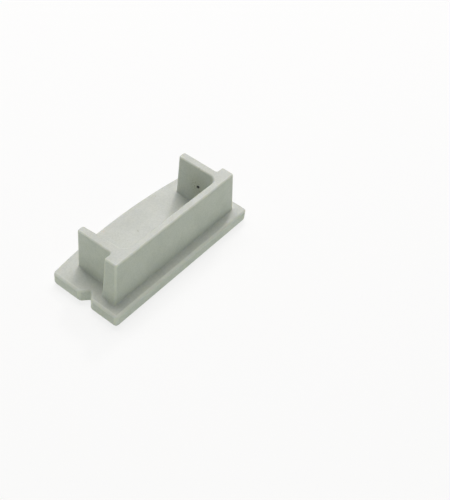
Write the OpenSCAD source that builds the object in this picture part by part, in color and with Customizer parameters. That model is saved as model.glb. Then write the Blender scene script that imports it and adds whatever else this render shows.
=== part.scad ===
// Push-in end cap for a flat profile with a crowned cover, moulded in one piece.
// It lies on its outer face, with the plug that goes into the profile pointing up.
// X runs along the plate, Y from the straight long edge to the crowned one, Z up.
// The origin is in the middle of the plate's rectangle, on the outer face.

/* [Plate] */
// Length of the plate, across the profile
plate_len = 30; // [26:0.5:40]
// Length of the plate's two straight short edges
side_h = 12.4; // [11:0.1:18]
// Rise of the crowned edge over the ends of the short edges
crown_rise = 1.1; // [0.4:0.1:2]
// Thickness of the plate
plate_t = 2.4; // [1.6:0.1:4]
// Corner radius of the plate, seen from above
corner_r = 0.9; // [0.3:0.1:1.5]
// Radius of the edge around the outer face
outer_edge_r = 0.9; // [0.3:0.1:1.2]
// Radius of the edge around the inner face
inner_edge_r = 0.3; // [0.1:0.05:0.4]

/* [Notches] */
// Distance from the straight edge to the middle of each notch
notch_y = 6.05; // [4:0.05:8]
// Width of a notch at the plate's short edge
notch_w = 2.3; // [1:0.1:3]
// Depth of a notch, before its root is rounded
notch_depth = 1.3; // [0.5:0.05:1.6]
// Radius at the root of a notch
notch_root_r = 0.35; // [0.1:0.05:0.4]
// Radius of the two upright edges at the mouth of a notch
notch_mouth_r = 0.4; // [0.1:0.05:0.5]
// Radius along a notch at the plate's outer face
notch_outer_r = 0.5; // [0.1:0.05:0.8]
// Radius along a notch at the plate's inner face
notch_inner_r = 0.4; // [0.1:0.05:0.5]

/* [Plug] */
// Height of the plug over the plate's inner face
plug_h = 7.4; // [4:0.1:14]
// Distance from the plate's straight edge to the long wall
wall_inset = 2.1; // [1:0.1:3]
// Thickness of the long wall between the wings
wall_t = 1.15; // [0.8:0.05:1.8]
// Distance from the plate's short edges to the ends of the long wall, at the plate
wall_end_inset = 1.55; // [1:0.05:3]
// Angle at which the ends of the long wall lean in towards the top
wall_end_draft = 3.7; // [0:0.1:6]
// Thickness of the long wall's end blocks, outside the wings
block_t = 2.2; // [1.2:0.1:3]
// Distance from the plate's short edges to the outer sides of the wings
wing_inset = 3.4; // [3.2:0.1:5]
// Distance from the ends of the short edges to the free ends of the wings
wing_end_inset = 1.7; // [0.8:0.1:3]
// Thickness of the left wing at its free end
left_wing_t = 1.2; // [0.8:0.05:1.8]
// Thickness of the right wing at its free end
right_wing_t = 1.35; // [0.8:0.05:1.8]
// Extra thickness of the left wing at the long wall
left_wing_gain = 0.5; // [0:0.05:0.6]
// Extra thickness of the right wing at the long wall
right_wing_gain = 0; // [0:0.05:0.6]
// Radius in the inner corners between the wings and the long wall
corner_fillet_r = 1.3; // [0.6:0.1:2]
// Radius along the top edges of the plug
top_edge_r = 0.25; // [0.1:0.05:0.35]
// Radius of the upright edges of the wings' free ends and the end blocks
upright_edge_r = 0.3; // [0.1:0.05:0.35]

/* [Hidden] */
$fn = 48;
crown_fn = 720;
plastic = [0.75, 0.77, 0.74];
// Each arc crosses the flats beside it at this angle, which gives it clear ends
crossing = 8;
// How far a cutting or trimming shape runs past what it shapes
past = 1;
half_len = plate_len / 2;
plate_h = side_h + crown_rise;
// The crowned edge is an arc through the ends of the short edges, with its centre at crown_y
crown_r = (half_len * half_len + crown_rise * crown_rise) / (2 * crown_rise);
crown_y = plate_h - crown_r;
top_z = plate_t + plug_h;
// The plug starts inside the plate, so that the two are one body
root_z = plate_t / 2;
// Half of the long wall's length at the plate
wall_half = half_len - wall_end_inset;
wall_back_y = wall_inset + wall_t;
block_back_y = wall_inset + block_t;
wing_x = half_len - wing_inset;
wing_end_y = side_h - wing_end_inset;

// Unit vector along v
function unit(v) = v / norm(v);

// Half of the angle at corner b of the path a, b, c
function half_angle(a, b, c) = acos(unit(a - b) * unit(c - b)) / 2;

// Centre of the arc of radius r that rounds corner b
function arc_centre(a, b, c, r) =
    b + unit(unit(a - b) + unit(c - b)) * r * cos(crossing) / sin(half_angle(a, b, c));

// The points of corner b's two sides that are nearest to that centre
function arc_feet(a, b, c, r) =
    let (d = r * cos(crossing) / tan(half_angle(a, b, c)))
    [b + unit(a - b) * d, b + unit(c - b) * d];

// What lies between corner b and its arc of radius r, drawn out past both sides by reach
module corner_rest(a, b, c, r, reach) {
    centre = arc_centre(a, b, c, r);
    feet = arc_feet(a, b, c, r);
    difference() {
        polygon([for (p = [centre, feet[0], b, feet[1]]) p + (p - centre) * reach / r]);
        translate(centre)
            circle(r);
    }
}

// Outline through points; corner i is rounded to radii[i]
module rounded(points, radii) {
    n = len(points);
    difference() {
        polygon(points);
        for (i = [0:n - 1])
            if (radii[i] > 0)
                corner_rest(points[(i + n - 1) % n], points[i], points[(i + 1) % n], radii[i], radii[i]);
    }
}

// Bar along X from x0 to x1; its section is drawn in Y and Z
module bar_x(x0, x1) {
    translate([x0, 0, 0])
        rotate([90, 0, 90])
            linear_extrude(x1 - x0)
                children();
}

// Bar along Y from y0 to y1; its section is drawn in X and Z
module bar_y(y0, y1) {
    translate([0, y1, 0])
        rotate([90, 0, 0])
            linear_extrude(y1 - y0)
                children();
}

// What a rounding of radius r takes off the edge at height z over the line from p to q
// The material lies left of the line, above z where inside is 1 and below it where inside is -1
module edge_rest(p, q, z, inside, r) {
    translate([p.x, p.y, 0])
        rotate([0, 0, atan2(q.y - p.y, q.x - p.x)])
            bar_x(0, norm(q - p))
                corner_rest([0, z + inside], [0, z], [1, z], r, r);
}

// Draws its children as they are for side 1, and mirrored for side -1
module mirrored(side) {
    mirror([side < 0 ? 1 : 0, 0])
        children();
}

// What the rounding takes off the rim of a notch, at height z of the plate
module notch_rim(mouth, root, z, inside, r) {
    other = [mouth.x, -mouth.y];
    centre = arc_centre(mouth, root, other, notch_root_r);
    foot = arc_feet(mouth, root, other, notch_root_r)[0];
    // Beyond this point of the flank's line, the rounding is clear of the plate
    clear = mouth + unit(mouth - root) * (past + r * notch_w / 2 / notch_depth);
    for (flip = [0, 1])
        mirror([0, flip])
            edge_rest(foot, clear, z, inside, r);
    translate(centre)
        rotate_extrude()
            corner_rest([notch_root_r, z + inside], [notch_root_r, z], [2 * notch_root_r, z], r, notch_root_r / 2);
}

// V-shaped notch with a round root and rounded edges, in the short edge on the given side
module notch(side) {
    root = [-notch_depth, 0];
    mouth = [0, notch_w / 2];
    outside = root + (mouth - root) * (notch_depth + past) / notch_depth;
    mirrored(side)
        translate([half_len, notch_y]) {
            translate([0, 0, -past])
                linear_extrude(plate_t + 2 * past) {
                    rounded([[outside.x, -outside.y], outside, root], [0, 0, notch_root_r]);
                    for (flip = [0, 1])
                        mirror([0, flip])
                            corner_rest(root, mouth, mouth + [0, 1], notch_mouth_r, notch_mouth_r);
                }
            notch_rim(mouth, root, 0, 1, notch_outer_r);
            notch_rim(mouth, root, plate_t, -1, notch_inner_r);
        }
}

// What the rounding takes off the plate's two corners on the given side
module plate_corners(side) {
    straight = [half_len, 0];
    crowned = [half_len, side_h];
    along_crown = [crown_y - side_h, half_len];
    mirrored(side)
        translate([0, 0, -past])
            linear_extrude(plate_t + 2 * past) {
                corner_rest([0, 0], straight, crowned, corner_r, corner_r);
                corner_rest(straight, crowned, crowned + along_crown, corner_r, corner_r);
            }
}

// Plate: trimmed to the rounded edges of its short, straight and crowned sides
module plate() {
    difference() {
        intersection() {
            bar_y(-past, plate_h + past)
                rounded(
                    [[-half_len, 0], [half_len, 0], [half_len, plate_t], [-half_len, plate_t]],
                    [outer_edge_r, outer_edge_r, inner_edge_r, inner_edge_r]
                );
            bar_x(-half_len - past, half_len + past)
                rounded(
                    [[0, 0], [plate_h + past, 0], [plate_h + past, plate_t], [0, plate_t]],
                    [outer_edge_r, 0, 0, inner_edge_r]
                );
            translate([0, crown_y, 0])
                rotate_extrude($fn = crown_fn)
                    rounded(
                        [[0, 0], [crown_r, 0], [crown_r, plate_t], [0, plate_t]],
                        [0, outer_edge_r, inner_edge_r, 0]
                    );
        }
        for (side = [-1, 1]) {
            plate_corners(side);
            notch(side);
        }
    }
}

// Upright slab from y0 to y1 with rounded top edges, along X from x0 to x1
module slab_x(x0, x1, y0, y1) {
    bar_x(x0, x1)
        rounded(
            [[y0, root_z], [y1, root_z], [y1, top_z], [y0, top_z]],
            [0, 0, top_edge_r, top_edge_r]
        );
}

// Length of the long wall: upright ends that lean in, with rounded top edges
module wall_ends() {
    lean = tan(wall_end_draft);
    bottom_x = wall_half + (plate_t - root_z) * lean;
    top_x = wall_half - plug_h * lean;
    bar_y(0, block_back_y + past)
        rounded(
            [[-bottom_x, root_z], [bottom_x, root_z], [top_x, top_z], [-top_x, top_z]],
            [0, 0, top_edge_r, top_edge_r]
        );
}

// What the rounding takes off the leaning upright edges of the end block on the given side
module block_edges(side) {
    mirrored(side)
        translate([wall_half, wall_inset, plate_t])
            rotate([0, -wall_end_draft, 0])
                translate([0, 0, -plate_t])
                    linear_extrude(plate_t + plug_h + past) {
                        corner_rest([-1, 0], [0, 0], [0, 1], upright_edge_r, upright_edge_r);
                        corner_rest([0, 0], [0, block_t], [-1, block_t], upright_edge_r, upright_edge_r);
                    }
}

// Long wall, with a thicker block outside each wing
module long_wall() {
    difference() {
        intersection() {
            union() {
                slab_x(-wall_half - past, wall_half + past, wall_inset, wall_back_y);
                slab_x(-wall_half - past, left_wing_t / 2 - wing_x, wall_inset, block_back_y);
                slab_x(wing_x - right_wing_t / 2, wall_half + past, wall_inset, block_back_y);
            }
            wall_ends();
        }
        block_edges(-1);
        block_edges(1);
    }
}

// Wing on the given side, t thick at its free end and thicker by gain at the long wall
module wing(side, t, gain) {
    root_y = wall_inset + wall_t / 2;
    free_inner_x = wing_x - t;
    root_inner_x = free_inner_x - gain * (wing_end_y - root_y) / (wing_end_y - wall_back_y);
    outline = [[root_inner_x, root_y], [wing_x, root_y], [wing_x, wing_end_y], [free_inner_x, wing_end_y]];
    mirrored(side)
        difference() {
            translate([0, 0, root_z])
                linear_extrude(top_z - root_z)
                    rounded(outline, [0, 0, upright_edge_r, upright_edge_r]);
            for (i = [1:3]) {
                p = outline[i];
                q = outline[(i + 1) % 4];
                along = unit(q - p) * past;
                edge_rest(p - along, q + along, top_z, -1, top_edge_r);
            }
        }
}

// Filling in the corner between such a wing and the long wall, hollowed to corner_fillet_r
module corner_fillet(side, t, gain) {
    free_end = [wing_x - t, wing_end_y];
    root = [wing_x - t - gain, wall_back_y];
    middle = [0, wall_back_y];
    r = corner_fillet_r;
    centre = arc_centre(free_end, root, middle, r);
    mirrored(side)
        difference() {
            translate([0, 0, root_z])
                linear_extrude(top_z - root_z)
                    corner_rest(free_end, root, middle, r, min(wall_t, t) / 2);
            translate(centre)
                rotate_extrude()
                    corner_rest([r, 0], [r, top_z], [2 * r, top_z], top_edge_r, top_edge_r);
        }
}

// The whole cap, moulded in one piece
module end_cap() {
    color(plastic)
        translate([0, -plate_h / 2, 0]) {
            plate();
            long_wall();
            wing(-1, left_wing_t, left_wing_gain);
            wing(1, right_wing_t, right_wing_gain);
            corner_fillet(-1, left_wing_t, left_wing_gain);
            corner_fillet(1, right_wing_t, right_wing_gain);
        }
}

end_cap();
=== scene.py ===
"""A push-in profile end cap: the moulded cap in its plastic, on a small pale studio floor."""

import math

import bmesh
import bpy
from bpy.props import (
    FloatProperty,
    FloatVectorProperty,
    IntProperty,
    PointerProperty,
)
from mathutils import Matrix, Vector


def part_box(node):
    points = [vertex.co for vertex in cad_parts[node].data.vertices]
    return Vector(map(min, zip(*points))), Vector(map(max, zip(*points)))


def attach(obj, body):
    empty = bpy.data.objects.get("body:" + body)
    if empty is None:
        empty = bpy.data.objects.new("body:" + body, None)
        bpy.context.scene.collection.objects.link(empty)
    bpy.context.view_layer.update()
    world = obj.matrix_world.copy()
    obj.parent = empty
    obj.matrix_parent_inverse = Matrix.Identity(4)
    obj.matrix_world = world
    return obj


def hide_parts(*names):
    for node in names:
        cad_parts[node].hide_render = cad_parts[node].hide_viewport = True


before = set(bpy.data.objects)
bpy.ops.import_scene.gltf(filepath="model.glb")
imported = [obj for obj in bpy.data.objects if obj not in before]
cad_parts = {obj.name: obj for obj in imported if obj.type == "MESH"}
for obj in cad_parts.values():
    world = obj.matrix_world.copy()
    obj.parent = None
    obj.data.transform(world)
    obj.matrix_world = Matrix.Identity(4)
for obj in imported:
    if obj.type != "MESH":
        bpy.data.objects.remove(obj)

bl_info = {
    "name": "Profile End Cap",
    "version": (1, 0, 0),
    "blender": (4, 5, 0),
    "location": "View3D > Sidebar > End Cap",
    "description": "Models a push-in end cap for a flat profile, with its plastic and a small studio",
    "category": "Add Mesh",
}

MM = 0.001
NODE = "end_cap"
BODY = "root"
# Two places closer than this, in metres, are the same place
SAME = 2e-7
# The material slot that marks the faces of rounded edges while the cap is made
ROUNDED = 1
# Facets across a rounded edge and across the plug's inner corners
EDGE_STEPS = 6
CORNER_STEPS = 12
# Edges that turn by less than this stay as they are
FLAT_ANGLE = math.radians(25)
# The plug's upright edges turn by more than this
CORNER_ANGLE = math.radians(60)
# Faces that meet at less than this are shaded as one smooth surface
SMOOTH_ANGLE = math.radians(35)
# Faces that meet at less than this are one flat face that a slice has cut
SLICE_ANGLE = math.radians(0.05)
# Edges that turn inwards by more than this, in radians, lie in a hollow
HOLLOW_ANGLE = 0.01
# The normal of a face that looks up rises by more than this
UPWARDS = 0.9

# The marks lie on the right wing's inner side and on the plate, with places and sizes in millimetres.
# Centre, half size and full share of the stain round the dark speck, and of the dots in the stain
STAIN = ((10.25, -0.3, 5.8), (1.0, 3.6, 4.2), 0.1)
DOTS = ((10.25, 0.1, 5.8), (1.0, 1.5, 1.9), 0.4)
# Two round marks beside each other make the speck as round as it looks
SPECK_CENTRES = ((10.25, -0.31, 6.11), (10.25, -0.20, 5.99))
SPECK_SIZE = (0.5, 0.29, 0.29)
# The swirl is two rings, each with its radius and strength
SWIRL_CENTRE = (-3.79, 3.77, 2.4)
SWIRL_RINGS = ((0.55, 0.09), (1.5, 0.05))
SWIRL_WIDTH = 0.15
SWIRL_DEPTH = 0.4
# Full shares of the speck and the swirl, and the size of the dots
SPECK_CORE = 0.65
SWIRL_CORE = 0.6
DOT_SIZE = 0.25
# Centre, half size, full share and strength of each faint mark
FAINT_MARKS = (
    ((10.1, -0.06, 9.75), (0.45, 0.3, 0.35), 0.2, 0.55),
    ((-0.46, 2.40, 2.4), (0.16, 0.3, 0.3), 0.2, 0.5),
    ((7.16, 5.53, 2.4), (0.2, 0.2, 0.3), 0.2, 0.3),
    ((1.44, 6.01, 2.4), (0.18, 0.15, 0.3), 0.2, 0.25),
    ((1.13, 5.23, 2.4), (0.16, 0.16, 0.3), 0.2, 0.25),
    ((-3.0, 2.18, 2.4), (0.15, 0.15, 0.3), 0.2, 0.3),
)

# How far red, green and blue light spread inside the plastic, against each other
SPREAD_OF_COLOURS = (1, 0.9, 0.6)
# Height of the clouds' relief against that of the fine grain
CLOUD_RELIEF = 0.8

# Where the lamps stand, and how wide the floor is, in metres
OVERHEAD_PLACE = (0.110, 0.131, 0.470)
RIGHT_PLACE = (0.250, 0, 0.433)
BACK_PLACE = (0, 0.250, 0.433)
WINDOW_PLACE = (0.300, 0.149, 0.372)
FILL_PLACE = (-0.390, -0.273, 0.155)
FLOOR_WIDTH = 3

LOW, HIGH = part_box(NODE)
PLATE_LENGTH = HIGH.x - LOW.x
FULL_HEIGHT = HIGH.z - LOW.z
CROWN_TOP = HIGH.y
FRONT = LOW.y


def length(name, description, default):
    """A size of the cap, stored in metres and given here in millimetres."""
    return FloatProperty(
        name=name,
        description=description,
        default=default * MM,
        min=0,
        unit="LENGTH",
        subtype="DISTANCE",
        precision=5,
    )


def power(name, description, default):
    """A lamp's power in watts."""
    return FloatProperty(name=name, description=description, default=default, min=0, unit="POWER")


def brightness(name, description, default):
    """The strength of a light that has no size."""
    return FloatProperty(name=name, description=description, default=default, min=0)


def share(name, description, default):
    """A share from 0 to 1."""
    return FloatProperty(
        name=name, description=description, default=default, min=0, max=1, subtype="FACTOR"
    )


def degrees(name, description, default):
    """An angle, given here in degrees."""
    return FloatProperty(name=name, description=description, default=math.radians(default), subtype="ANGLE")


def tint(name, description, default):
    """A colour with parts from 0 to 1."""
    return FloatVectorProperty(
        name=name, description=description, default=default, subtype="COLOR", min=0, max=1
    )


class CapShape(bpy.types.PropertyGroup):
    """Sizes of the moulded cap. Its length, depth and height come from the frame."""

    plate_thickness: length("Plate Thickness", "Thickness of the plate", 2.4)
    crown_rise: length("Crown Rise", "Rise of the crowned edge over the ends of the short edges", 1.1)
    corner_radius: length("Corner Radius", "Radius of the plate's corners, seen from above", 0.6)
    outer_edge: length("Outer Edge", "Radius around the plate's outer face", 0.7)
    inner_edge: length("Inner Edge", "Radius around the plate's inner face", 0.45)
    notch_place: length("Notch Place", "From the straight edge to the middle of a notch", 6.05)
    notch_width: length("Notch Width", "Width of a notch at the plate's short edge", 2.3)
    notch_depth: length("Notch Depth", "Depth of a notch, before its root is rounded", 1.3)
    notch_root: length("Notch Root", "Radius at the root of a notch", 0.35)
    notch_mouth: length("Notch Mouth", "Radius of a notch's upright edges at its mouth", 0.4)
    notch_outer: length("Notch Outer Edge", "Radius along a notch at the plate's outer face", 0.5)
    notch_inner: length("Notch Inner Edge", "Radius along a notch at the plate's inner face", 0.4)
    wall_inset: length("Wall Inset", "From the straight edge to the long wall", 2.1)
    wall_thickness: length("Wall Thickness", "Thickness of the long wall between the wings", 1.15)
    wall_end_inset: length("Wall End Inset", "From the short edges to the ends of the long wall", 1.55)
    wall_end_draft: degrees("Wall End Draft", "Angle at which the ends of the long wall lean in", 3.7)
    wall_front_draft: degrees("Wall Front Draft", "Angle at which the long wall's front leans back", 3.3)
    block_thickness: length("Block Thickness", "Thickness of the end blocks outside the wings", 2.2)
    wing_inset: length("Wing Inset", "From the short edges to the outer sides of the wings", 3.4)
    left_wing: length("Left Wing", "Thickness of the left wing at its free end", 1.2)
    right_wing: length("Right Wing", "Thickness of the right wing at its free end", 1.35)
    left_gain: length("Left Gain", "Extra thickness of the left wing at the long wall", 0.5)
    right_gain: length("Right Gain", "Extra thickness of the right wing at the long wall", 0.0)
    wing_end_inset: length(
        "Wing End Inset", "From the ends of the short edges to the wings' free ends", 1.7
    )
    corner_fillet: length("Corner Fillet", "Radius in the corners between the wings and the wall", 1.3)
    top_edge: length("Top Edge", "Radius along the top of the plug", 0.3)
    upright_edge: length("Upright Edge", "Radius of the plug's upright edges", 0.33)
    root_fillet: length("Root Fillet", "Radius where the plug stands on the plate", 0.15)
    crown_steps: IntProperty(
        name="Crown Steps",
        description="Facets along the crowned edge",
        default=24,
        min=8,
        max=26,
    )


class CapFinish(bpy.types.PropertyGroup):
    """Colour and surface of the plastic, the marks on it, and the painted highlight and painted shade on
    its edges.
    """

    colour: tint("Plastic", "Colour of the plastic", (0.63, 0.652, 0.61))
    cloud_colour: tint(
        "Clouds", "Colour of the plastic where its pigment is denser", (0.55, 0.577, 0.535)
    )
    cloud_size: length("Cloud Size", "Size of the clouds in the plastic", 3.0)
    grain_size: length("Grain Size", "Size of the fine mottling", 0.28)
    grain_depth: length("Grain Depth", "Depth of the moulded grain", 0.006)
    mottling: share("Mottling", "Share of the fine mottling", 0.6)
    # Painted highlight on the rounded edges that face the front and left, and painted shade on those that
    # face the right
    edge_highlight_colour: tint("Painted Edge Highlight", "Colour of the edges that are rubbed light", (0.79, 0.81, 0.77))
    edge_highlight: share("Edge Highlight", "How light the rubbed edges are", 0.6)
    edge_shade: share("Edge Shade", "How dark the dull edges are", 0.3)
    roughness: share("Roughness", "Mean roughness of the moulded surface", 0.42)
    roughness_drift: share("Roughness Drift", "How far the roughness drifts to each side", 0.06)
    depth: share("Depth", "Share of the light that scatters inside the plastic", 0.6)
    scatter: length("Scatter", "How far light spreads inside the plastic", 0.6)
    speck_colour: tint("Speck", "Colour of the dark speck", (0.01, 0.012, 0.01))
    # This colour tints the faint stains and marks, and also paints the shade on the edges that face the
    # right
    stain_and_shade_colour: tint("Stain", "Colour of the faint stains and of the painted edge shade", (0.30, 0.31, 0.20))
    stain: share("Stain Strength", "Strength of the stain round the speck", 0.22)
    dots: share("Dots", "Strength of the fine dots in the stain", 0.8)


class CapStage(bpy.types.PropertyGroup):
    """Floor, light and camera."""

    floor_colour: tint("Floor", "Colour of the floor to the camera", (1, 1, 1))
    floor_shade: share("Floor Shade", "How far the shadow on the floor darkens it", 0.22)
    bounce_colour: tint(
        "Bounce", "Colour of the floor in the light that it throws back", (0.75, 0.80, 0.71)
    )
    floor_glow: share("Floor Glow", "Strength of the light from the floor itself, against its colour", 0.21)
    zenith: brightness("Zenith", "Strength of the soft light from above", 0.12)
    horizon: brightness("Horizon", "Strength of the soft light from the sides", 0.43)
    sky_colour: tint("Sky Colour", "Colour of the soft light", (0.92, 1, 0.93))
    overhead: power("Overhead", "Power of the large lamp overhead", 0.92)
    right: power("Right", "Power of the large lamp high on the right", 0.32)
    back: power("Back", "Power of the large lamp high behind", 0.28)
    window: power("Window", "Power of the small lamp behind on the right", 0.36)
    fill: power("Fill", "Power of the low lamp at the front left", 0.14)
    lamp_colour: tint("Lamp Colour", "Colour of the lamps", (1, 0.955, 0.96))
    fill_colour: tint("Fill Colour", "Colour of the low lamp", (1, 0.95, 0.72))
    lamp_size: FloatProperty(
        name="Lamp Size", description="Width of the large lamps", default=0.25, min=0, unit="LENGTH"
    )
    camera_place: FloatVectorProperty(
        name="Camera Place",
        description="Where the camera stands",
        default=(-0.071475, -0.057900, 0.097330),
        subtype="TRANSLATION",
        unit="LENGTH",
    )
    camera_turn: FloatVectorProperty(
        name="Camera Turn",
        description="How the camera is turned",
        default=[math.radians(a) for a in (43.453, -5.758, -51.917)],
        subtype="EULER",
    )
    lens: FloatProperty(
        name="Lens", description="Focal length for a 36 mm sensor", default=63.075, unit="CAMERA"
    )


def start_clean():
    """Leaves edit mode and selects nothing."""
    if bpy.context.object and bpy.context.object.mode != "OBJECT":
        bpy.ops.object.mode_set(mode="OBJECT")
    bpy.ops.object.select_all(action="DESELECT")


def edit(piece):
    """Goes into edit mode on this piece alone."""
    start_clean()
    piece.select_set(True)
    bpy.context.view_layer.objects.active = piece
    bpy.ops.object.mode_set(mode="EDIT")


def choose(piece, kind, test, what):
    """Selects, in edit mode, the verts, edges or faces that the test accepts. There has to be one."""
    bpy.ops.mesh.select_mode(type={"verts": "VERT", "edges": "EDGE", "faces": "FACE"}[kind])
    bpy.ops.mesh.select_all(action="DESELECT")
    mesh = bmesh.from_edit_mesh(piece.data)
    mesh.normal_update()
    chosen = [item for item in getattr(mesh, kind) if test(item)]
    for item in chosen:
        item.select_set(True)
    bmesh.update_edit_mesh(piece.data)
    if not chosen:
        raise RuntimeError(f"nothing to shape at {what}")


def new_cube(name, low, high):
    """A cube primitive at its size and place, with its object at the origin."""
    start_clean()
    low, high = Vector(low), Vector(high)
    bpy.ops.mesh.primitive_cube_add(size=1, location=(low + high) / 2, scale=high - low)
    piece = bpy.context.object
    piece.name = name
    piece.data.name = name
    bpy.ops.object.transform_apply(location=True, rotation=True, scale=True)
    return piece


def slice_at(axis, places):
    """Cuts the piece in edit mode by planes across the axis."""
    normal = Vector((0, 0, 0))
    normal[axis] = 1
    for place in places:
        bpy.ops.mesh.select_all(action="SELECT")
        bpy.ops.mesh.bisect(plane_co=normal * place, plane_no=normal)


def apply_modifier(piece, name):
    """Applies a modifier of this piece."""
    start_clean()
    piece.select_set(True)
    bpy.context.view_layer.objects.active = piece
    bpy.ops.object.modifier_apply(modifier=name)


class CapPlan:
    """The cap's places in the frame, worked out from its sizes."""

    def __init__(self, shape):
        self.half = PLATE_LENGTH / 2
        self.side_end = CROWN_TOP - shape.crown_rise
        self.floor = shape.plate_thickness
        self.top = FULL_HEIGHT
        self.wall_front = FRONT + shape.wall_inset
        self.wall_back = self.wall_front + shape.wall_thickness
        self.block_back = self.wall_front + shape.block_thickness
        self.wall_end = self.half - shape.wall_end_inset
        self.wing_outer = self.half - shape.wing_inset
        self.wing_inner = {-1: self.wing_outer - shape.left_wing, 1: self.wing_outer - shape.right_wing}
        self.wing_end = self.side_end - shape.wing_end_inset
        self.notch = FRONT + shape.notch_place
        # Here an edge ties the plug's outline to the plate's on each side, so that no face has a hole
        self.tie = (self.notch + self.wing_end) / 2
        self.gain = {-1: shape.left_gain, 1: shape.right_gain}

    def stands_on(self, x, y):
        """Whether the plug covers this place of the plate."""
        wing_inner = self.wing_inner[-1 if x < 0 else 1]
        in_wall = self.wall_front < y < self.wall_back and abs(x) < self.wall_end
        in_block = self.wall_front < y < self.block_back and wing_inner < abs(x) < self.wall_end
        in_wing = self.wall_front < y < self.wing_end and wing_inner < abs(x) < self.wing_outer
        return in_wall or in_block or in_wing


def is_at(value, place):
    """Whether two measures are the same."""
    return abs(value - place) < SAME


def raise_plug(cap, plan):
    """Slices the plate along the plug's outline and draws the plug up out of it."""
    edit(cap)
    for side in (-1, 1):
        slice_at(0, [side * x for x in (plan.wall_end, plan.wing_outer, plan.wing_inner[side])])
    slice_at(1, (plan.wall_front, plan.wall_back, plan.block_back, plan.tie, plan.wing_end))

    def under_plug(face):
        middle = face.calc_center_median()
        return face.normal.z > UPWARDS and plan.stands_on(middle.x, middle.y)

    choose(cap, "faces", under_plug, "the plug's outline")
    bpy.ops.mesh.extrude_region_move(TRANSFORM_OT_translate={"value": (0, 0, plan.top - plan.floor)})


def lean_wall_ends(cap, plan, draft):
    """Moves the tops of the long wall's ends inwards."""
    for side in (-1, 1):
        place = side * plan.wall_end
        choose(cap, "verts", lambda v: is_at(v.co.x, place) and is_at(v.co.z, plan.top), "the wall's ends")
        shift = -side * (plan.top - plan.floor) * math.tan(draft)
        bpy.ops.transform.translate(value=(shift, 0, 0))


def lean_wall_front(cap, plan, draft):
    """Moves the foot of the long wall's front out towards the straight edge."""

    def at_foot(v):
        on_line = is_at(v.co.y, plan.wall_front) and is_at(v.co.z, plan.floor)
        return on_line and abs(v.co.x) < plan.wall_end + SAME

    choose(cap, "verts", at_foot, "the foot of the wall's front")
    shift = -(plan.top - plan.floor) * math.tan(draft)
    bpy.ops.transform.translate(value=(0, shift, 0))


def thicken_wings(cap, plan):
    """Moves the wings' inner sides inwards, from nothing at their free ends."""
    run = plan.wing_end - plan.wall_back
    for side, gain in plan.gain.items():
        place = side * plan.wing_inner[side]
        for y in (plan.wall_front, plan.wall_back, plan.block_back, plan.tie):

            def inner_side(v):
                return is_at(v.co.x, place) and is_at(v.co.y, y) and v.co.z > plan.floor - SAME

            choose(cap, "verts", inner_side, "the wings' inner sides")
            shift = -side * gain * min(1, (plan.wing_end - y) / run)
            bpy.ops.transform.translate(value=(shift, 0, 0))


def join_flats(cap, plan):
    """Removes the slices' edges that lie within flat faces, but for the two ties."""

    def tie(e):
        return all(is_at(v.co.y, plan.tie) and is_at(v.co.z, plan.floor) for v in e.verts) and all(
            abs(v.co.x) > plan.wing_outer - SAME for v in e.verts
        )

    choose(cap, "edges", tie, "the ties")
    bpy.ops.mesh.mark_seam()
    bpy.ops.mesh.select_all(action="SELECT")
    bpy.ops.mesh.dissolve_limited(angle_limit=SLICE_ANGLE, delimit={"SEAM"})


def crown_edge(cap, plan, shape):
    """Divides the plate's far edges and moves the new points out to the crown's arc."""
    rise = shape.crown_rise
    radius = (plan.half**2 + rise**2) / (2 * rise)

    def far_edge(e):
        a, b = (v.co for v in e.verts)
        return is_at(a.y, plan.side_end) and is_at(b.y, plan.side_end) and is_at(a.z, b.z)

    choose(cap, "edges", far_edge, "the plate's far edges")
    bpy.ops.mesh.subdivide(number_cuts=shape.crown_steps - 1, ngon=True)
    mesh = bmesh.from_edit_mesh(cap.data)
    for vertex in mesh.verts:
        if is_at(vertex.co.y, plan.side_end):
            vertex.co.y += math.sqrt(radius**2 - vertex.co.x**2) - (radius - rise)
    bmesh.update_edit_mesh(cap.data)


def round_uprights(cap, radius, segments, slot, test, what):
    """Rounds the upright edges that the test accepts. The new faces get this slot."""

    def upright(e):
        return not is_at(e.verts[0].co.z, e.verts[1].co.z)

    choose(cap, "edges", lambda e: upright(e) and test(e), what)
    bpy.ops.mesh.bevel(
        offset_type="OFFSET",
        offset=radius,
        segments=segments,
        profile=0.5,
        affect="EDGES",
        clamp_overlap=False,
        material=slot,
    )


def round_corners(cap, plan, shape):
    """Rounds the plug's upright edges in the sharp model, so that its top and foot edges run round them."""
    for _ in range(ROUNDED + 1):
        cap.data.materials.append(None)
    edit(cap)

    def inner_corner(e):
        co = e.verts[0].co
        return is_at(co.y, plan.wall_back) and abs(co.x) < plan.wing_outer - SAME

    def outer_edge(e):
        on_plug = max(v.co.z for v in e.verts) > plan.floor + SAME
        return on_plug and e.calc_face_angle_signed() > CORNER_ANGLE

    def hollow_edge(e):
        return is_at(e.verts[0].co.y, plan.block_back) and e.calc_face_angle_signed() < -CORNER_ANGLE

    radius = shape.upright_edge
    round_uprights(cap, radius, EDGE_STEPS, ROUNDED, outer_edge, "the plug's upright edges")
    round_uprights(cap, radius, EDGE_STEPS, 0, hollow_edge, "the corners between wings and blocks")
    round_uprights(cap, shape.corner_fillet, CORNER_STEPS, 0, inner_corner, "the plug's inner corners")


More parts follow.
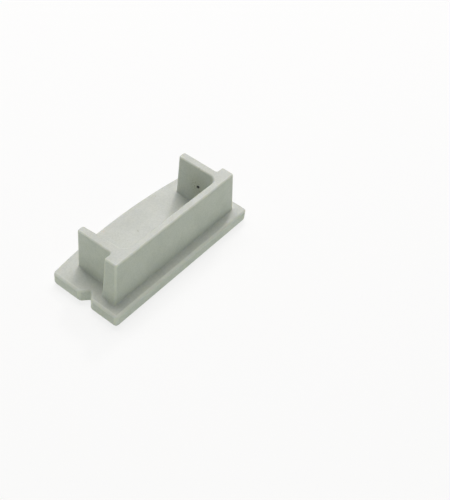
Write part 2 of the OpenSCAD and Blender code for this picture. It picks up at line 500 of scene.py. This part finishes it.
def notch_cutter(plan, shape, side):
    """A V-shaped bar with a round root, standing where a notch is cut."""
    start_clean()
    bpy.ops.mesh.primitive_cylinder_add(vertices=3, radius=1, depth=1)
    cutter = bpy.context.object
    cutter.name = "notch_cutter"
    edit(cutter)
    mesh = bmesh.from_edit_mesh(cutter.data)
    # The corners by y and then by x, so that the one that stands alone comes last
    corners = sorted({(round(v.co.y, 4), round(v.co.x, 4)) for v in mesh.verts})
    # The bar reaches as far past the short edge as the notch is deep, where it is twice as wide
    root_x = plan.half - shape.notch_depth
    open_x = plan.half + shape.notch_depth
    places = dict(zip(corners, ((open_x, -shape.notch_width), (open_x, shape.notch_width), (root_x, 0))))
    for v in mesh.verts:
        x, y = places[(round(v.co.y, 4), round(v.co.x, 4))]
        # It reaches past the plate by half the plate's thickness at both faces
        z = plan.floor * (0.5 + math.copysign(1, v.co.z))
        v.co = (side * x, plan.notch + y, z)
    bmesh.update_edit_mesh(cutter.data)

    def root_edge(e):
        a, b = (v.co for v in e.verts)
        return is_at(abs(a.x), root_x) and is_at(abs(b.x), root_x)

    choose(cutter, "edges", root_edge, "the notch's root")
    bpy.ops.mesh.bevel(
        offset_type="OFFSET", offset=shape.notch_root, segments=EDGE_STEPS, profile=0.5, affect="EDGES"
    )
    bpy.ops.mesh.select_all(action="SELECT")
    bpy.ops.mesh.normals_make_consistent(inside=False)
    start_clean()
    return cutter


def cut_notches(cap, plan, shape):
    """Cuts the notches out of the short edges."""
    for side in (-1, 1):
        cutter = notch_cutter(plan, shape, side)
        cut = cap.modifiers.new("notch", "BOOLEAN")
        cut.operation = "DIFFERENCE"
        cut.solver = "EXACT"
        cut.object = cutter
        apply_modifier(cap, "notch")
        bpy.data.objects.remove(cutter, do_unlink=True)


def notch_radius(a, b, plan, shape):
    """The radius for the edge of a notch from a to b, or None where it isn't one."""
    middle = (a + b) / 2
    deep = plan.half - shape.notch_depth - SAME < abs(middle.x) < plan.half + SAME
    if not deep or abs(middle.y - plan.notch) > shape.notch_width / 2 + SAME:
        return None
    if not is_at(a.z, b.z):
        return shape.notch_mouth
    return shape.notch_outer if a.z < SAME else shape.notch_inner


def edge_radius(edge, plan, shape):
    """The radius that an edge of the sharp model is rounded to."""
    angle = edge.calc_face_angle_signed()
    if abs(angle) < FLAT_ANGLE:
        return 0
    a, b = (v.co for v in edge.verts)
    in_notch = notch_radius(a, b, plan, shape)
    if in_notch is not None:
        return in_notch
    if angle < 0:
        return shape.root_fillet
    if max(a.z, b.z) < SAME:
        return shape.outer_edge
    if max(a.z, b.z) < plan.floor + SAME:
        return shape.inner_edge if is_at(a.z, b.z) else shape.corner_radius
    return shape.top_edge


def round_edges(cap, plan, shape):
    """Gives each edge its radius and rounds them all in one pass. The new faces get the marking slot."""
    widest = shape.outer_edge
    edit(cap)
    bpy.ops.mesh.select_mode(type="EDGE")
    mesh = bmesh.from_edit_mesh(cap.data)
    mesh.normal_update()
    weights = mesh.edges.layers.float.new("bevel_weight_edge")
    for e in mesh.edges:
        e[weights] = edge_radius(e, plan, shape) / widest
    bmesh.update_edit_mesh(cap.data)
    start_clean()
    rounding = cap.modifiers.new("rounding", "BEVEL")
    rounding.limit_method = "WEIGHT"
    rounding.width = widest
    rounding.segments = EDGE_STEPS
    rounding.material = ROUNDED
    rounding.profile = 0.5
    rounding.use_clamp_overlap = False
    apply_modifier(cap, "rounding")


def paint_edge_light_and_shade(cap, plan, shape):
    """Stores painted highlight on the rounded edges that face the front and left, and painted shade on
    those that face the right.
    """
    mesh = bmesh.new()
    mesh.from_mesh(cap.data)
    mesh.normal_update()
    rubbed = mesh.verts.layers.float.new("rubbed")
    dull = mesh.verts.layers.float.new("dull")
    for vertex in mesh.verts:
        flat = any(face.material_index != ROUNDED for face in vertex.link_faces)
        hollow = any(edge.calc_face_angle_signed() < -HOLLOW_ANGLE for edge in vertex.link_edges)
        if flat or hollow or vertex.co.z < plan.floor - shape.inner_edge - SAME:
            continue
        facing = Vector(vertex.normal.xy).normalized()
        # Painted highlight: the more an edge faces the front or left, and the less it faces the right, the
        # lighter it is painted
        vertex[rubbed] = min(1, max(0, max(-facing.x, 0) + max(-facing.y, 0) - max(facing.x, 0)))
        # Painted shade: the more an edge faces the right, and the less it faces the front, the darker it is
        # painted
        vertex[dull] = max(0, facing.x - max(-facing.y, 0))
    for face in mesh.faces:
        face.material_index = 0
    mesh.to_mesh(cap.data)
    mesh.free()


def finish_surface(cap, plan, shape):
    """Merges doubles and gives the flats flat shading and the roundings smooth shading."""
    edit(cap)
    bpy.ops.mesh.select_all(action="SELECT")
    bpy.ops.mesh.remove_doubles(threshold=SAME)
    bpy.ops.mesh.normals_make_consistent(inside=False)
    start_clean()
    paint_edge_light_and_shade(cap, plan, shape)
    cap.select_set(True)
    bpy.context.view_layer.objects.active = cap
    bpy.ops.object.shade_smooth_by_angle(angle=SMOOTH_ANGLE)
    weighted = cap.modifiers.new("flat_faces", "WEIGHTED_NORMAL")
    weighted.mode = "FACE_AREA"
    weighted.weight = 90
    weighted.keep_sharp = True
    apply_modifier(cap, "flat_faces")


def mark_group():
    """A node group for a soft round mark: 1 in its middle and 0 from its rim on."""
    group = bpy.data.node_groups.new("mark", "ShaderNodeTree")
    group.interface.new_socket("Place", in_out="INPUT", socket_type="NodeSocketVector")
    group.interface.new_socket("Centre", in_out="INPUT", socket_type="NodeSocketVector")
    group.interface.new_socket("Size", in_out="INPUT", socket_type="NodeSocketVector")
    core = group.interface.new_socket("Core", in_out="INPUT", socket_type="NodeSocketFloat")
    core.description = "Share of the mark that is full"
    strength = group.interface.new_socket("Strength", in_out="INPUT", socket_type="NodeSocketFloat")
    strength.default_value = 1
    group.interface.new_socket("Mask", in_out="OUTPUT", socket_type="NodeSocketFloat")
    nodes, links = group.nodes, group.links
    given = nodes.new("NodeGroupInput")
    result = nodes.new("NodeGroupOutput")

    offset = nodes.new("ShaderNodeVectorMath")
    offset.operation = "SUBTRACT"
    links.new(given.outputs["Place"], offset.inputs[0])
    links.new(given.outputs["Centre"], offset.inputs[1])
    scaled = nodes.new("ShaderNodeVectorMath")
    scaled.operation = "DIVIDE"
    links.new(offset.outputs["Vector"], scaled.inputs[0])
    links.new(given.outputs["Size"], scaled.inputs[1])
    distance = nodes.new("ShaderNodeVectorMath")
    distance.operation = "LENGTH"
    links.new(scaled.outputs["Vector"], distance.inputs[0])
    fade = nodes.new("ShaderNodeMapRange")
    fade.interpolation_type = "SMOOTHSTEP"
    fade.inputs["From Max"].default_value = 1
    fade.inputs["To Min"].default_value = 1
    fade.inputs["To Max"].default_value = 0
    links.new(distance.outputs["Value"], fade.inputs["Value"])
    links.new(given.outputs["Core"], fade.inputs["From Min"])
    weighted = nodes.new("ShaderNodeMath")
    weighted.operation = "MULTIPLY"
    links.new(fade.outputs["Result"], weighted.inputs[0])
    links.new(given.outputs["Strength"], weighted.inputs[1])
    links.new(weighted.outputs["Value"], result.inputs["Mask"])
    return group


class Plastic:
    """Builds the plastic's nodes. Places and sizes in it are in millimetres."""

    def __init__(self, name):
        self.material = bpy.data.materials.new(name)
        self.material.use_nodes = True
        self.nodes = self.material.node_tree.nodes
        self.links = self.material.node_tree.links
        self.shader = self.nodes["Principled BSDF"]
        self.marks = mark_group()
        where = self.nodes.new("ShaderNodeTexCoord")
        scale = self.nodes.new("ShaderNodeMapping")
        scale.inputs["Scale"].default_value = (1 / MM, 1 / MM, 1 / MM)
        self.links.new(where.outputs["Object"], scale.inputs["Vector"])
        self.place = scale.outputs["Vector"]

    def noise(self, size, detail, roughness=0.5):
        """Noise from 0 to 1 with features of this size."""
        node = self.nodes.new("ShaderNodeTexNoise")
        node.inputs["Scale"].default_value = 1 / size
        node.inputs["Detail"].default_value = detail
        node.inputs["Roughness"].default_value = roughness
        self.links.new(self.place, node.inputs["Vector"])
        return node.outputs["Fac"]

    def spread(self, value, low, high, new_low=0, new_high=1):
        """Maps low to new_low and high to new_high, with soft ends."""
        node = self.nodes.new("ShaderNodeMapRange")
        node.interpolation_type = "SMOOTHSTEP"
        node.inputs["From Min"].default_value = low
        node.inputs["From Max"].default_value = high
        node.inputs["To Min"].default_value = new_low
        node.inputs["To Max"].default_value = new_high
        self.links.new(value, node.inputs["Value"])
        return node.outputs["Result"]

    def maths(self, operation, a, b):
        """A Math node on two values, each a number or a socket."""
        node = self.nodes.new("ShaderNodeMath")
        node.operation = operation
        for value, target in ((a, node.inputs[0]), (b, node.inputs[1])):
            if isinstance(value, (int, float)):
                target.default_value = value
            else:
                self.links.new(value, target)
        return node.outputs["Value"]

    def blend(self, factor, a, b):
        """Colour a where the factor is 0, and b where it is 1."""
        node = self.nodes.new("ShaderNodeMix")
        node.data_type = "RGBA"
        inputs = node.inputs
        for value, target in ((factor, inputs["Factor"]), (a, inputs["A"]), (b, inputs["B"])):
            if isinstance(value, (int, float)):
                target.default_value = value
            elif isinstance(value, tuple):
                target.default_value = (*value, 1)
            else:
                self.links.new(value, target)
        return node.outputs["Result"]

    def stored(self, name):
        """A value that the mesh stores at its points."""
        node = self.nodes.new("ShaderNodeAttribute")
        node.attribute_name = name
        return node.outputs["Fac"]

    def mark(self, centre, size, core=0.3, strength=1):
        """The mask of one mark."""
        node = self.nodes.new("ShaderNodeGroup")
        node.node_tree = self.marks
        node.inputs["Centre"].default_value = centre
        node.inputs["Size"].default_value = size
        node.inputs["Core"].default_value = core
        node.inputs["Strength"].default_value = strength
        self.links.new(self.place, node.inputs["Place"])
        return node.outputs["Mask"]


def add_marks(plastic, finish, colour):
    """Puts the stain with its dots, the faint marks, the swirl and the dark speck over the colour."""
    stain = plastic.mark(*STAIN, finish.stain)
    dots = plastic.spread(plastic.noise(DOT_SIZE, detail=2, roughness=0.7), low=0.54, high=0.64)
    dots = plastic.maths("MULTIPLY", plastic.mark(*DOTS, finish.dots), dots)
    faint = plastic.maths("ADD", stain, dots)
    for place in FAINT_MARKS:
        faint = plastic.maths("ADD", faint, plastic.mark(*place))
    for radius, strength in SWIRL_RINGS:
        outer = radius + SWIRL_WIDTH
        outside = plastic.mark(SWIRL_CENTRE, (outer, outer, SWIRL_DEPTH), SWIRL_CORE, strength)
        inside = plastic.mark(SWIRL_CENTRE, (radius, radius, SWIRL_DEPTH), SWIRL_CORE, strength)
        faint = plastic.maths("ADD", faint, plastic.maths("SUBTRACT", outside, inside))
    colour = plastic.blend(faint, colour, tuple(finish.stain_and_shade_colour))
    first, second = (plastic.mark(centre, SPECK_SIZE, SPECK_CORE) for centre in SPECK_CENTRES)
    speck = plastic.maths("ADD", first, second)
    return plastic.blend(speck, colour, tuple(finish.speck_colour))


def cap_plastic(finish):
    """Satin moulded plastic with faint clouds, fine mottling, a soft grain, a few marks, and painted
    highlight and painted shade along its rounded edges.
    """
    plastic = Plastic("cap_plastic")
    inputs = plastic.shader.inputs
    cloud_size, grain_size = finish.cloud_size / MM, finish.grain_size / MM
    clouds = plastic.spread(plastic.noise(cloud_size, detail=3), low=0.35, high=0.7)
    mottles = plastic.spread(plastic.noise(grain_size, detail=3, roughness=0.7), low=0.38, high=0.62)
    cloudy = plastic.maths("MULTIPLY", clouds, 1 - finish.mottling)
    density = plastic.maths("ADD", cloudy, plastic.maths("MULTIPLY", mottles, finish.mottling))
    colour = plastic.blend(density, tuple(finish.colour), tuple(finish.cloud_colour))
    # Painted highlight on the rounded edges that face the front and left
    painted_highlight_share = plastic.maths("MULTIPLY", plastic.stored("rubbed"), finish.edge_highlight)
    colour = plastic.blend(painted_highlight_share, colour, tuple(finish.edge_highlight_colour))
    # Painted shade on the rounded edges that face the right, in the colour of the stains
    painted_shade_share = plastic.maths("MULTIPLY", plastic.stored("dull"), finish.edge_shade)
    colour = plastic.blend(painted_shade_share, colour, tuple(finish.stain_and_shade_colour))
    plastic.links.new(add_marks(plastic, finish, colour), inputs["Base Color"])

    drift = finish.roughness_drift
    gloss = plastic.noise(cloud_size / 2, detail=3)
    satin = plastic.spread(gloss, low=0.3, high=0.7, new_low=-drift, new_high=drift)
    plastic.links.new(plastic.maths("ADD", satin, finish.roughness), inputs["Roughness"])

    grain = plastic.noise(grain_size, detail=3, roughness=0.6)
    relief = plastic.maths("ADD", grain, plastic.maths("MULTIPLY", clouds, CLOUD_RELIEF))
    bump = plastic.nodes.new("ShaderNodeBump")
    bump.inputs["Strength"].default_value = 1
    bump.inputs["Distance"].default_value = finish.grain_depth
    plastic.links.new(relief, bump.inputs["Height"])
    plastic.links.new(bump.outputs["Normal"], inputs["Normal"])

    inputs["Subsurface Weight"].default_value = finish.depth
    inputs["Subsurface Radius"].default_value = SPREAD_OF_COLOURS
    inputs["Subsurface Scale"].default_value = finish.scatter
    return plastic.material


class END_CAP_OT_mould(bpy.types.Operator):
    """Model the cap: a notched, crowned plate with a U-shaped plug, in one piece"""

    bl_idname = "end_cap.mould"
    bl_label = "Mould Cap"
    bl_options = {"REGISTER", "UNDO"}

    def execute(self, context):
        shape = context.scene.end_cap_shape
        plan = CapPlan(shape)
        cap = new_cube("moulded_cap", (-plan.half, FRONT, 0), (plan.half, plan.side_end, plan.floor))
        raise_plug(cap, plan)
        lean_wall_ends(cap, plan, shape.wall_end_draft)
        thicken_wings(cap, plan)
        lean_wall_front(cap, plan, shape.wall_front_draft)
        join_flats(cap, plan)
        crown_edge(cap, plan, shape)
        round_corners(cap, plan, shape)
        cut_notches(cap, plan, shape)
        round_edges(cap, plan, shape)
        finish_surface(cap, plan, shape)
        cap.data.materials.clear()
        cap.data.materials.append(cap_plastic(context.scene.end_cap_finish))
        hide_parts(NODE)
        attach(cap, BODY)
        return {"FINISHED"}


def background_rays(nodes, links):
    """1 for the rays that see the background: the camera's own, and those in reflections and glass."""
    path = nodes.new("ShaderNodeLightPath")
    total = path.outputs["Is Camera Ray"]
    for name in ("Is Glossy Ray", "Is Transmission Ray"):
        more = nodes.new("ShaderNodeMath")
        more.operation = "MAXIMUM"
        links.new(total, more.inputs[0])
        links.new(path.outputs[name], more.inputs[1])
        total = more.outputs["Value"]
    return total


def floor_material(stage):
    """A plain matt floor that looks white, takes a light shadow and is clear from below."""
    material = bpy.data.materials.new("pale_floor")
    material.use_nodes = True
    nodes, links = material.node_tree.nodes, material.node_tree.links
    shader = nodes["Principled BSDF"]
    shader.inputs["Roughness"].default_value = 1
    shader.inputs["Specular IOR Level"].default_value = 0

    seen = background_rays(nodes, links)
    colour = nodes.new("ShaderNodeMix")
    colour.data_type = "RGBA"
    colour.inputs["A"].default_value = (*stage.bounce_colour, 1)
    colour.inputs["B"].default_value = (*[c * stage.floor_shade for c in stage.floor_colour], 1)
    glow = nodes.new("ShaderNodeMix")
    glow.data_type = "RGBA"
    glow.inputs["A"].default_value = (*[c * stage.floor_glow for c in stage.bounce_colour], 1)
    glow.inputs["B"].default_value = (*[c * (1 - stage.floor_shade) for c in stage.floor_colour], 1)
    for mix, target in ((colour, "Base Color"), (glow, "Emission Color")):
        links.new(seen, mix.inputs["Factor"])
        links.new(mix.outputs["Result"], shader.inputs[target])
    shader.inputs["Emission Strength"].default_value = 1

    below = nodes.new("ShaderNodeNewGeometry")
    clear = nodes.new("ShaderNodeBsdfTransparent")
    sides = nodes.new("ShaderNodeMixShader")
    links.new(below.outputs["Backfacing"], sides.inputs["Fac"])
    links.new(shader.outputs["BSDF"], sides.inputs[1])
    links.new(clear.outputs["BSDF"], sides.inputs[2])
    links.new(sides.outputs["Shader"], nodes["Material Output"].inputs["Surface"])
    return material


def add_lamp(name, place, size, power_in_watts, lamp_colour):
    """A soft disk lamp that points at the cap."""
    bpy.ops.object.light_add(type="AREA", location=place)
    lamp = bpy.context.object
    lamp.name = name
    lamp.data.shape = "DISK"
    lamp.data.size = size
    lamp.data.energy = power_in_watts
    lamp.data.color = lamp_colour
    lamp.rotation_euler = (-lamp.location).to_track_quat("-Z", "Y").to_euler()


def sky_world(stage):
    """Soft light that changes from the sides to above, and is seen as a white background."""
    world = bpy.data.worlds.new("soft_sky")
    world.use_nodes = True
    nodes, links = world.node_tree.nodes, world.node_tree.links
    light = nodes["Background"]
    direction = nodes.new("ShaderNodeTexCoord")
    height = nodes.new("ShaderNodeSeparateXYZ")
    links.new(direction.outputs["Generated"], height.inputs["Vector"])
    strength = nodes.new("ShaderNodeMapRange")
    strength.inputs["To Min"].default_value = stage.horizon
    strength.inputs["To Max"].default_value = stage.zenith
    links.new(height.outputs["Z"], strength.inputs["Value"])
    links.new(strength.outputs["Result"], light.inputs["Strength"])
    light.inputs["Color"].default_value = (*stage.sky_colour, 1)
    white = nodes.new("ShaderNodeBackground")
    white.inputs["Color"].default_value = (1, 1, 1, 1)
    white.inputs["Strength"].default_value = 1
    seen = nodes.new("ShaderNodeMixShader")
    links.new(background_rays(nodes, links), seen.inputs["Fac"])
    links.new(light.outputs["Background"], seen.inputs[1])
    links.new(white.outputs["Background"], seen.inputs[2])
    links.new(seen.outputs["Shader"], nodes["World Output"].inputs["Surface"])
    return world


class END_CAP_OT_stage(bpy.types.Operator):
    """Set up the floor, the soft light and the camera"""

    bl_idname = "end_cap.stage"
    bl_label = "Set Stage"
    bl_options = {"REGISTER", "UNDO"}

    def execute(self, context):
        stage = context.scene.end_cap_stage
        start_clean()
        bpy.ops.mesh.primitive_plane_add(size=FLOOR_WIDTH, location=(0, 0, 0))
        floor = context.object
        floor.name = "floor"
        floor.data.materials.append(floor_material(stage))

        context.scene.world = sky_world(stage)
        large, small = stage.lamp_size, stage.lamp_size / 4
        for name, place, size, power_in_watts, lamp_colour in (
            ("overhead_lamp", OVERHEAD_PLACE, large, stage.overhead, stage.lamp_colour),
            ("right_lamp", RIGHT_PLACE, large, stage.right, stage.lamp_colour),
            ("back_lamp", BACK_PLACE, large, stage.back, stage.lamp_colour),
            ("window_lamp", WINDOW_PLACE, small, stage.window, stage.lamp_colour),
            ("fill_lamp", FILL_PLACE, large, stage.fill, stage.fill_colour),
        ):
            add_lamp(name, place, size, power_in_watts, lamp_colour)

        bpy.ops.object.camera_add(location=stage.camera_place, rotation=stage.camera_turn)
        camera = context.object
        camera.name = "camera"
        camera.data.lens = stage.lens
        camera.data.clip_start = 1 * MM
        context.scene.camera = camera
        context.scene.view_settings.view_transform = "Standard"
        return {"FINISHED"}


class END_CAP_PT_panel(bpy.types.Panel):
    """The cap's sizes, finish and stage"""

    bl_idname = "END_CAP_PT_panel"
    bl_label = "Profile End Cap"
    bl_space_type = "VIEW_3D"
    bl_region_type = "UI"
    bl_category = "End Cap"

    def draw(self, context):
        scene = context.scene
        for title, group in (
            ("Shape", scene.end_cap_shape),
            ("Finish", scene.end_cap_finish),
            ("Stage", scene.end_cap_stage),
        ):
            box = self.layout.box()
            box.label(text=title)
            for name in type(group).__annotations__:
                box.prop(group, name)
        self.layout.operator(END_CAP_OT_mould.bl_idname)
        self.layout.operator(END_CAP_OT_stage.bl_idname)


CLASSES = (CapShape, CapFinish, CapStage, END_CAP_OT_mould, END_CAP_OT_stage, END_CAP_PT_panel)


def register():
    """Makes the cap's classes and settings known."""
    for cls in CLASSES:
        bpy.utils.register_class(cls)
    bpy.types.Scene.end_cap_shape = PointerProperty(type=CapShape)
    bpy.types.Scene.end_cap_finish = PointerProperty(type=CapFinish)
    bpy.types.Scene.end_cap_stage = PointerProperty(type=CapStage)


def unregister():
    """Takes the cap's classes and settings away."""
    del bpy.types.Scene.end_cap_stage
    del bpy.types.Scene.end_cap_finish
    del bpy.types.Scene.end_cap_shape
    for cls in reversed(CLASSES):
        bpy.utils.unregister_class(cls)


def main():
    """Makes the cap and its stage."""
    register()
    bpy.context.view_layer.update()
    bpy.ops.end_cap.mould()
    bpy.ops.end_cap.stage()


if __name__ == "__main__":
    main()
